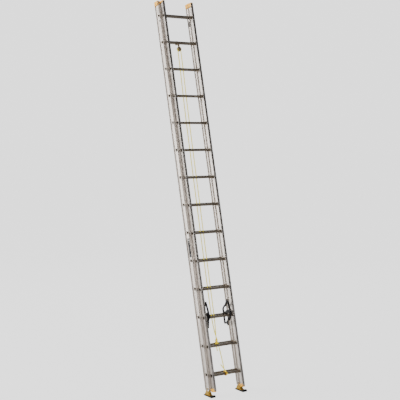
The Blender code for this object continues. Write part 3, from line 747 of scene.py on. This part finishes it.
def add_caps():
    """Caps on the rails' ends, each cut out round its rail. The fly's top ones end at the outer web."""
    wall = 0.0022
    for side, sign in SIDES:
        for name, body, web_x, low_y, high_y, out, skirt, rail_y, depth, end, up in (
            ("base_top", "base", BASE_WEB_X, -0.026, 0.0402, wall, 0.034, 0.0, BASE_DEPTH,
             BASE_BOTTOM + RAIL_LENGTH, 1),
            ("fly_top", "fly", FLY_WEB_X, -0.101, -0.0415, 0.0, 0.034, FLY_Y, FLY_DEPTH,
             FLY_BOTTOM + RAIL_LENGTH, 1),
            ("fly_bottom", "fly", FLY_WEB_X, -0.101, -0.0415, 0.0, 0.023, FLY_Y, FLY_DEPTH, FLY_BOTTOM, -1),
        ):
            node = f"{side}_{name}_cap"
            at = TILT @ Matrix.Translation((sign * web_x, 0.0, end))
            mesh = cap_mesh(node + "_shell", low_y, high_y, out, skirt)
            if up < 0:
                mesh.transform(Matrix.Diagonal((1, 1, -1, 1)))
                mesh.flip_normals()
            made = piece(node + "_shell", mesh, body, CAP_PLASTIC, [node], at, sharp=40)
            section = [(u, v + rail_y) for u, v in grown_section(depth, GAP)]
            low, high = (-0.1, GAP) if up > 0 else (-GAP, 0.1)
            cut(made, prism("section", section, low, high))
            if name == "fly_top":
                outside = sorted((sign * (WEB_THICK / 2 - 0.0005), sign * 0.03))
                cut(made, block("outside", (outside[0], -0.2, -0.1), (outside[1], 0.0, -0.004)))
            y, z = (low_y + high_y) / 2, -up * skirt * 0.55
            proud = FLANGE_WIDTH / 2 + out - 0.0002
            heads = []
            for face in (-1, 1):
                at_face = Matrix.Translation((face * proud, y, z))
                heads.append(placed(rivet_head(0.0042, 0.0018), mirror(face), at_face))
            piece(node + "_rivets", joined(node + "_rivets", heads), body, DARK_STEEL, (), at)


# ---- fasteners


def rivet_head(radius, height, steps=20):
    """A domed head that stands out along +x."""
    crown = [math.radians(15 * i) for i in range(7)]
    profile = [(-0.0005, 0.0), (-0.0005, radius)]
    profile += [(height * math.sin(a), radius * math.cos(a)) for a in crown]
    return turned("rivet", profile, steps)


def hex_head(radius, height):
    """A six-sided head along +x with a chamfered crown."""
    rings = []
    for x, share in ((0.0, 1.0), (height * 0.8, 1.0), (height, 0.86)):
        rings.append([(x, radius * share * math.cos(a), radius * share * math.sin(a)) for a in angles(6)])
    return loft("hex", rings)


def washer(radius, low, high, steps=28):
    return turned("washer", [(low, 0.0), (low, radius), (high, radius), (high, 0.0)], steps)


def helix_wire(name, radius, wire, turns, length, steps=20):
    """A coil spring along x."""
    points = []
    for i in range(round(turns * steps) + 1):
        a = math.tau * i / steps
        points.append(Vector((length * i / (turns * steps), radius * math.cos(a), radius * math.sin(a))))
    rings = []
    for p, (_, u, v) in zip(points, bend_frames(points)):
        rings.append([p + (u * math.cos(a) + v * math.sin(a)) * wire for a in angles(8)])
    return loft(name, rings)


# ---- swivel shoes


def add_shoes():
    """Swivel shoes, each level on the floor: a bracket with two cheeks, a ribbed pad and its bolt."""
    drop = Vector((0.0, SHOE_PIVOT_Z * math.sin(LEAN), SHOE_PIVOT_Z * math.cos(LEAN)))
    toe, heel, plate_half, pad_half = 0.090, 0.043, 0.0265, 0.0283
    pad_top, plate_top, lip_top = 0.010, 0.0143, 0.021
    for side, sign in SIDES:
        at = Vector((sign * BASE_WEB_X, 0.0, ORIGIN_HEIGHT)) + drop
        place = Matrix.Translation(at)
        height = at.z
        plate_low, plate_high = pad_top + GAP - height, plate_top - height
        foot = (plate_low + plate_high) / 2
        waist = foot + 0.022
        view = arc((0.0, 0.0), 0.0115, -10, 190, 18)
        view += bend((-0.0122, -0.010), (-0.029, waist), (-0.047, plate_high + 0.0015))
        view += [(-0.050, foot), (0.040, foot)]
        view += list(reversed(bend((0.0122, -0.010), (0.029, waist), (0.037, plate_high + 0.0015))))
        hole = ring((0.0, 0.0), BOLT_RADIUS, 24)
        cheeks = [plate("cheek", [view, hole], s * 0.0175 - 0.0015, s * 0.0175 + 0.0015) for s in (-1, 1)]
        sole = prism("sole", rounded_plate(plate_half, toe, heel, 0.006), plate_low, plate_high)
        bracket = joined(f"{side}_shoe_frame", cheeks + [sole])
        piece(f"{side}_shoe_frame", bracket, f"{side}_shoe", SHOE_METAL,
              [f"{side}_shoe_bracket"], place, bevel=0.0009, segments=3)

        pitch, groove = 0.0072, 0.0026
        sole_line = []
        y = -toe - 0.0045
        while y + pitch <= heel - 0.002:
            sole_line += [(y, 0.0), (y + pitch * 0.62, 0.0)]
            sole_line += [(y + pitch * 0.70, groove), (y + pitch * 0.92, groove)]
            y += pitch
        lip = toe + 0.008
        wrapped = plate_top + GAP
        outline = [(heel, 0.0), (heel, pad_top), (-toe - GAP, pad_top), (-toe - GAP, wrapped)]
        outline += [(0.020 - toe - GAP, wrapped), (0.020 - toe - 0.0015, lip_top - 0.001)]
        outline += [(0.018 - toe, lip_top)]
        outline += [(0.003 - lip, lip_top)] + arc((0.004 - lip, lip_top - 0.004), 0.004, 100, 180, 4)
        outline += [(-lip, 0.003), (0.001 - lip, 0.0008)]
        outline = [(u, v - height) for u, v in outline + sole_line]
        tread = [plate("tread", [outline], -pad_half, pad_half)]
        front, under = 0.016 - toe, pad_top - 0.002
        rim_view = [(heel, under), (heel, plate_top), (front, plate_top), (front, under)]
        rim_view = [(u, v - height) for u, v in rim_view]
        for s in (-1, 1):
            low, high = sorted((s * (plate_half + GAP), s * pad_half))
            tread.append(plate("rim", [rim_view], low, high))
        pad = joined(f"{side}_shoe_tread", tread)
        piece(f"{side}_shoe_tread", pad, f"{side}_shoe", RUBBER, [f"{side}_shoe_pad"], place,
              bevel=0.0006)

        upright = Matrix.Rotation(-math.pi / 2, 4, "Y")
        heads = [placed(rivet_head(0.0038, 0.0018), Matrix.Translation((x, y, plate_high)) @ upright)
                 for x, y in ((-0.020, 0.030), (0.020, 0.030), (-0.018, -0.060), (0.018, -0.060))]
        piece(f"{side}_shoe_rivets", joined(f"{side}_shoe_rivets", heads), f"{side}_shoe", STEEL,
              (), place)

        shank = [(-0.0195, 0.0), (-0.0195, 0.0045), (-0.0157, 0.0045), (-0.0157, 0.007), (-0.0016, 0.007),
                 (-0.0016, 0.0045), (0.0016, 0.0045), (0.0016, 0.007), (0.0157, 0.007), (0.0157, 0.0045),
                 (0.0195, 0.0045), (0.0195, 0.0)]
        head = placed(hex_head(0.0090, 0.0038), Matrix.Translation((0.0195, 0.0, 0.0)))
        backwards = Matrix.Translation((-0.0195, 0.0, 0.0)) @ Matrix.Rotation(math.pi, 4, "Z")
        nut = placed(hex_head(0.0088, 0.0038), backwards)
        bolt = placed(joined(f"{side}_shoe_fixing", [turned("shank", shank, 24), head, nut]), mirror(sign))
        if sign < 0:
            bolt.flip_normals()
        piece(f"{side}_shoe_fixing", bolt, "base", STEEL, [f"{side}_shoe_bolt"], place)


# ---- rung locks

# The latch below its pivot, in the lock's own (y, z).
LATCH_FORK = [
    (0.0190, -0.1060),
    (0.0205, -0.1110),
    (0.0260, -0.1125),
    (0.0305, -0.1095),
    (0.0360, -0.0925),
    (0.0410, -0.0910),
    (0.0800, -0.0885),
    (0.0838, -0.0855),
    (0.0840, -0.0750),
    (0.0815, -0.0722),
    (0.0460, -0.0710),
]


def lock_outline():
    """The lock's outline in (y, z), the opening of its A-shaped frame, and the holes for bush and pin."""
    boss = (0.0, 0.0)
    outside = [(-0.0105, 0.1700), (-0.0080, 0.1720), (-0.0010, 0.1720), (0.0035, 0.1700)]
    outside += [(0.0455, 0.1195), (0.0665, 0.1095), (0.0865, 0.0935), (0.0975, 0.0820)]
    outside += [(0.1015, 0.0740), (0.1025, 0.0660), (0.1025, -0.0780), (0.1000, -0.0830), (0.0900, -0.0830)]
    outside += [(0.0870, -0.0790), (0.0870, 0.0280), (0.0840, 0.0326), (0.0450, 0.0326)]
    outside += arc(boss, 0.032, 25, -35, 10)
    outside += arc(TONGUE_PIVOT, 0.012, 10, -170, 14)
    outside += arc(boss, 0.032, -140, -155, 3)
    outside += [(-0.0375, -0.0110), (-0.0405, -0.0030), (-0.0420, 0.0120), (-0.0405, 0.0330)]
    outside += [(-0.0360, 0.0620)]
    opening = [(-0.0190, 0.0640), (-0.0180, 0.0585), (-0.0140, 0.0560), (0.0380, 0.0560), (0.0450, 0.0460)]
    opening += [(0.0480, 0.0454), (0.0840, 0.0454), (0.0868, 0.0485), (0.0870, 0.0720), (0.0855, 0.0775)]
    opening += [(0.0805, 0.0835), (0.0600, 0.0940), (0.0370, 0.1020), (0.0005, 0.1400), (-0.0022, 0.1420)]
    opening += [(-0.0046, 0.1400)]
    return outside, opening, ring(boss, 0.0223, 40), ring(TONGUE_PIVOT, 0.0053, 20)


def add_locks():
    """Rung locks on the third fly rung. Each has a casting on a sleeve, and a latch on a pin below."""
    bore = [(u, v) for _, u, v in rung_ring(0.0, GAP)]
    for side, sign in SIDES:
        x = sign * LOCK_X
        at = TILT @ Matrix.Translation((x, FLY_Y, LOCK_Z))
        outside, opening, bush_hole, pin_hole = lock_outline()
        half = LOCK_THICK / 2
        name = f"{side}_lock_casting"
        casting = plate(name, [outside, opening, bush_hole, pin_hole], -half, half)
        piece(name, casting, f"{side}_lock", LOCK_METAL, [f"{side}_lock_body"], at,
              bevel=0.0022, segments=3)

        sleeve = turned("sleeve", [(-0.0100, 0.0), (-0.0100, 0.0205), (-0.0092, 0.0218), (0.0092, 0.0218),
                                   (0.0100, 0.0205), (0.0100, 0.0)], 40)
        made = piece(f"{side}_lock_sleeve", sleeve, "fly", DARK_STEEL,
                     [f"{side}_lock_bush"], at)
        cut(made, placed(prism("bore", bore, -0.02, 0.02, "X"), LEVEL))

        inner = -sign * (half + 2 * GAP)
        centre = inner - sign * TONGUE_THICK / 2
        turn = TILT @ Matrix.Translation((x, FLY_Y + TONGUE_PIVOT[0], LOCK_Z + TONGUE_PIVOT[1]))
        points = arc((0.0, 0.0), 0.011, 60, 240, 16)
        points += [(u - TONGUE_PIVOT[0], v - TONGUE_PIVOT[1]) for u, v in LATCH_FORK]
        low, high = sorted((inner, inner - sign * TONGUE_THICK))
        name = f"{side}_lock_latch"
        piece(name, plate(name, [points], low, high), f"{side}_tongue", LOCK_METAL,
              [f"{side}_lock_tongue"], turn, bevel=0.0015, segments=3)
        reach = half + 0.002
        pin = turned("pin", [(centre, 0.0), (centre, 0.005), (sign * (reach - 0.001), 0.005),
                             (sign * reach, 0.0040), (sign * reach, 0.0)], 24)
        head = placed(rivet_head(0.0075, 0.0022, 24), mirror(-sign),
                      Matrix.Translation((inner - sign * (TONGUE_THICK - 0.0002), 0.0, 0.0)))
        piece(f"{side}_latch_pin", joined(f"{side}_latch_pin", [pin, head]), f"{side}_tongue", STEEL,
              (), turn)
        spring = placed(helix_wire("spring", 0.0078, 0.0008, 3.5, 0.0062), mirror(sign),
                        Matrix.Translation((sign * (half + 0.0006), 0.0, 0.0)))
        piece(f"{side}_latch_spring", spring, f"{side}_lock", STEEL, (), turn)


# ---- pulley


def add_pulley():
    """A hanger bent round its rung, and a block with an oval shell, a grooved wheel and a pin."""
    at = TILT @ Matrix.Translation((PULLEY_X, 0.0, PULLEY_RUNG_Z))
    tang, low = 0.003, GAP - 0.0524
    outline = arc((0.0, 0.0), 0.024, -112, 202, 40)
    outline += bend((ROPE_Y + 0.012, -0.014), (ROPE_Y - tang, -0.020), (ROPE_Y - tang, -0.036))[3:]
    outline += [(ROPE_Y - tang, low), (ROPE_Y + tang, low), (ROPE_Y + tang, -0.036)]
    outline += [(ROPE_Y + 0.010, -0.0265)]
    strap = plate("pulley_strap", [outline, ring((0.0, 0.0), 0.0206, 40)], -0.010, 0.010)
    piece("pulley_strap", strap, "base", BLOCK_PAINT, ["pulley_hanger"], at, bevel=0.0008)

    axle_at = TILT @ Matrix.Translation((PULLEY_X, ROPE_Y, AXLE_Z))
    half_wide, half_high, centre = 0.0255, 0.026, 0.080 - 0.0524 - 0.026
    facing = Matrix(((0, 1, 0, 0), (-1, 0, 0, 0), (0, 0, 1, 0), (0, 0, 0, 1)))
    hub = (0.0, 0.0)
    oval = [(x * half_wide, centre + z * half_high) for x, z in ring(hub, 1.0, 56)]
    cheeks = []
    for low, high in ((-0.010, -0.0075), (0.0075, 0.010)):
        cheeks.append(plate("cheek", [oval, ring(hub, 0.0043, 20)], low, high))
    bridge = [(x * half_wide * 0.995, centre + z * half_high * 0.995) for x, z in arc(hub, 1.0, 64, 116, 10)]
    bridge += [(x * half_wide, centre + z * half_high - 0.0034) for x, z in arc(hub, 1.0, 116, 64, 10)]
    cheeks.append(plate("bridge", [bridge], -0.0078, 0.0078))
    shell = placed(joined("pulley_shell", cheeks), facing)
    piece("pulley_shell", shell, "base", BLOCK_PAINT, ["pulley_block"], axle_at, bevel=0.0006)

    half_wheel = [(0.0065, 0.0044), (0.0065, 0.0085), (0.0056, 0.0095), (0.0056, 0.0175), (0.0065, 0.0190),
                  (0.0065, 0.0213), (0.0060, 0.0215), (0.0053, 0.0164), (0.0036, 0.0141)]
    profile = half_wheel + [(0.0, 0.0135)] + [(-x, radius) for x, radius in reversed(half_wheel)]
    wheel = placed(turned("wheel", profile, 64), facing)
    piece("pulley_wheel", wheel, "sheave", WHEEL_NYLON, ["pulley_sheave"], axle_at)

    half_pin = [(0.0118, 0.0), (0.0118, 0.0040), (0.0112, 0.0058), (0.0103, 0.0065), (0.0103, 0.0040)]
    profile = [(-x, radius) for x, radius in half_pin] + half_pin[::-1]
    pin = placed(turned("pin", profile, 28), facing)
    piece("pulley_pin", pin, "base", STEEL, ["pulley_axle"], axle_at)


# ---- knots


def wrap_path(middle_x, middle_y, middle_z, start, turns, advance, steps=28, clearance=0.0004):
    """Points of a rope wound round a rung. Angles run from the tread's rear edge over the top to the
    front, and each turn moves along x by the advance."""
    grow = ROPE_OVER_STRANDS / 2 + clearance
    keyed = sorted((math.atan2(v, u) % math.tau, u, v) for _, u, v in rung_ring(0.0, grow))
    points = []
    for i in range(round(turns * steps) + 1):
        angle = (math.radians(start) + math.tau * i / steps) % math.tau
        _, u, v = min(keyed, key=lambda k: min(abs(k[0] - angle), math.tau - abs(k[0] - angle)))
        local = LEVEL.to_3x3() @ Vector((0.0, u, v))
        points.append(Vector((middle_x + advance * i / steps, middle_y + local.y, middle_z + local.z)))
    return points


def add_knot_piece(name, points, body, material, replaces=()):
    mesh, _ = rope_mesh(name, points, step=KNOT_STEP, lay=KNOT_LAY)
    piece(name, mesh, body, material, replaces, sharp=ROPE_CREASE)


def add_base_knot():
    """One turn round the base's second rung, a coil round the standing part, and a loose tail."""
    z = KNOT_Z
    stand_x, stand_y = KNOT_X, -0.0130
    turn = wrap_path(KNOT_X - 0.0046, 0.0, z, 75, 1.0, 0.0094)
    coil = []
    for i in range(41):
        a = math.radians(-60 + 360 * 2.4 * i / 40)
        x, y = stand_x + COIL_RADIUS * math.cos(a), stand_y + COIL_RADIUS * math.sin(a)
        coil.append(Vector((x, y, z + 0.0275 + 0.0240 * i / 40)))
    route = turn + [Vector((KNOT_X + 0.0052, -0.0175, z + 0.0235))] + coil
    add_knot_piece("halyard_knot_turns", thin(route, ROUTE_SPACING), "base", ROPE_KNOT_SHADED, ["halyard_knot"])
    over = [
        (stand_x + 0.010, stand_y + 0.004, z + 0.045),
        (stand_x + 0.004, stand_y - 0.0135, z + 0.040),
        (stand_x - 0.0090, stand_y - 0.0105, z + 0.036),
    ]
    add_knot_piece("halyard_knot_tail", over + raised(KNOT_TAIL[1:], z), "base", ROPE)
    core = [
        (stand_x, stand_y, z + 0.061),
        (stand_x, stand_y, z + 0.042),
        (stand_x - 0.002, -0.0085, z + 0.0235),
    ]
    add_knot_piece("halyard_knot_core", core, "base", ROPE_KNOT_SHADED)


def add_fly_hitch():
    """A turn and a half round the fly's lowest rung, and a loose tail that crosses over them."""
    z = FLY_FIRST_RUNG
    first = wrap_path(HITCH_X + 0.0052, FLY_Y, z, 70, 0.95, -0.0098)
    second = wrap_path(HITCH_X - 0.0046, FLY_Y, z, 52, 0.55, 0.0)
    route = [Vector(p) for p in raised(FLY_LINE_ROUTE[-1:], z)] + first[1:] + second[1:]
    add_knot_piece("halyard_hitch_turns", thin(route, ROUTE_SPACING), "fly", ROPE_KNOT_SHADED, ["halyard_hitch"])
    cross = [(HITCH_X + 0.0085, FLY_Y - 0.0215, z - 0.012), (HITCH_X + 0.004, FLY_Y - 0.0245, z + 0.001)]
    add_knot_piece("halyard_hitch_tail", cross + raised(HITCH_TAIL, z), "fly", ROPE)


def thin(points, least):
    """Drops points nearer than the least distance to the one before."""
    out = [points[0]]
    for p in points[1:]:
        if (p - out[-1]).length >= least:
            out.append(p)
    return out


# ---- guides, their bolts, and the label


def add_guides():
    """A block inside each base rail near its top, and on the outer web its bolt and a rivet."""
    for side, sign in SIDES:
        near, far = sorted((sign * GUIDE_INNER_X, sign * GUIDE_OUTER_X))
        name = f"{side}_guide_block"
        guide = block(name, (near, -0.0295, TOP_RUNG_Z - 0.095), (far, 0.020, TOP_RUNG_Z - 0.039))
        piece(name, guide, "base", SHEAVE_PLASTIC, [f"{side}_slide_guide"], bevel=0.0025,
              segments=3)
        for part, y, below, radius, metal in (
            ("bolt", 0.003, 0.058, 0.0088, LOCK_METAL),
            ("rivet", 0.011, 0.080, 0.0070, STEEL),
        ):
            at = Matrix.Translation((sign * (BASE_WEB_X + WEB_THICK / 2), y, TOP_RUNG_Z - below))
            name = f"{side}_guide_{part}"
            parts = [washer(radius + 0.0014, 0.0, 0.0008), rivet_head(radius, 0.0030)]
            piece(name, placed(joined(name, parts), mirror(sign), at), "base", metal)


def add_label():
    """A plain label: a dark board with a pale ring, a grey ring and a few thin grey bars."""
    face = -(BASE_WEB_X + WEB_THICK / 2)
    half = (LABEL_HIGH - LABEL_LOW) / 2
    middle = TILT @ Matrix.Translation((0.0, 0.0, (LABEL_LOW + LABEL_HIGH) / 2))
    outline = rounded_plate(LABEL_HALF_WIDTH, half, half, 0.005)
    board = plate("label", [outline], face - 0.0004, face - 0.00005)
    piece("label_backing", board, "base", LABEL_BLACK, (), middle)
    on_top = (face - 0.0006, face - 0.00041)
    ring_z = half - LABEL_RING_INSET
    mark = plate("mark", [ring((0.0, ring_z), 0.0120, 40), ring((0.0, ring_z), 0.0075, 40)], *on_top)
    piece("label_pale_ring", mark, "base", LABEL_PALE, (), middle)
    marks = [plate("mark", [ring((0.0, -ring_z), 0.0115, 40), ring((0.0, -ring_z), 0.0070, 40)], *on_top)]
    for i in range(6):
        z, reach = 0.055 - i * 0.020, 0.0110 - 0.0025 * (i % 3)
        bar = [(-reach, z), (reach, z), (reach, z + 0.0035), (-reach, z + 0.0035)]
        marks.append(plate("mark", [bar], *on_top))
    grey = joined("label_grey_marks", marks)
    piece("label_grey_marks", grey, "base", LABEL_GREY, (), middle)


add_caps()
add_shoes()
add_locks()
add_pulley()
add_base_knot()
add_fly_hitch()
add_guides()
add_label()


# ---- stage


def add_floor():
    """A wide floor. The camera sees it nearly as even as the background behind it."""
    floor = bpy.data.objects.new("floor", block("floor", (-60.0, -40.0, -0.02), (60.0, 80.0, 0.0)))
    bpy.context.scene.collection.objects.link(floor)
    floor.data.materials.append(FLOOR)
    tree = FLOOR.node_tree
    glow = tree.nodes.new("ShaderNodeEmission")
    glow.inputs["Strength"].default_value = FLOOR_GLOW
    mixed = tree.nodes.new("ShaderNodeMixShader")
    seen = tree.nodes.new("ShaderNodeLightPath").outputs["Is Camera Ray"]
    tree.links.new(worked_out(tree, "MULTIPLY", seen, FLOOR_GLOW_SHARE), mixed.inputs["Fac"])
    tree.links.new(tree.nodes["Principled BSDF"].outputs["BSDF"], mixed.inputs[1])
    tree.links.new(glow.outputs["Emission"], mixed.inputs[2])
    tree.links.new(mixed.outputs["Shader"], tree.nodes["Material Output"].inputs["Surface"])


def add_lights():
    for name, at, aim, size, energy in LIGHTS:
        data = bpy.data.lights.new(name, "AREA")
        data.shape = "SQUARE"
        data.size = size
        data.energy = energy
        light = bpy.data.objects.new(name, data)
        bpy.context.scene.collection.objects.link(light)
        light.location = at
        light.rotation_euler = (Vector(aim) - Vector(at)).to_track_quat("-Z", "Y").to_euler()


def add_world():
    """Light from all round, bright to the climber's left and the wall's side and dark opposite, which
    gives the metal its shading. The camera sees one even backdrop."""
    world = bpy.data.worlds.new("studio")
    bpy.context.scene.world = world
    world.use_nodes = True
    tree = world.node_tree
    towards = tree.nodes.new("ShaderNodeVectorMath")
    towards.operation = "DOT_PRODUCT"
    towards.inputs[1].default_value = WORLD_DARK_SIDE
    tree.links.new(tree.nodes.new("ShaderNodeTexCoord").outputs["Generated"], towards.inputs[0])
    shade = mapped(tree, towards.outputs["Value"], *WORLD_TURN, WORLD_BRIGHT, WORLD_DARK)
    shade.interpolation_type = "SMOOTHSTEP"
    pick = tree.nodes.new("ShaderNodeMix")
    tree.links.new(tree.nodes.new("ShaderNodeLightPath").outputs["Is Camera Ray"], pick.inputs["Factor"])
    tree.links.new(shade.outputs["Result"], pick.inputs["A"])
    pick.inputs["B"].default_value = BACKDROP
    background = tree.nodes["Background"]
    tree.links.new(pick.outputs["Result"], background.inputs["Strength"])
    background.inputs["Color"].default_value = (1.0, 1.0, 1.0, 1.0)


add_floor()
add_lights()
add_world()
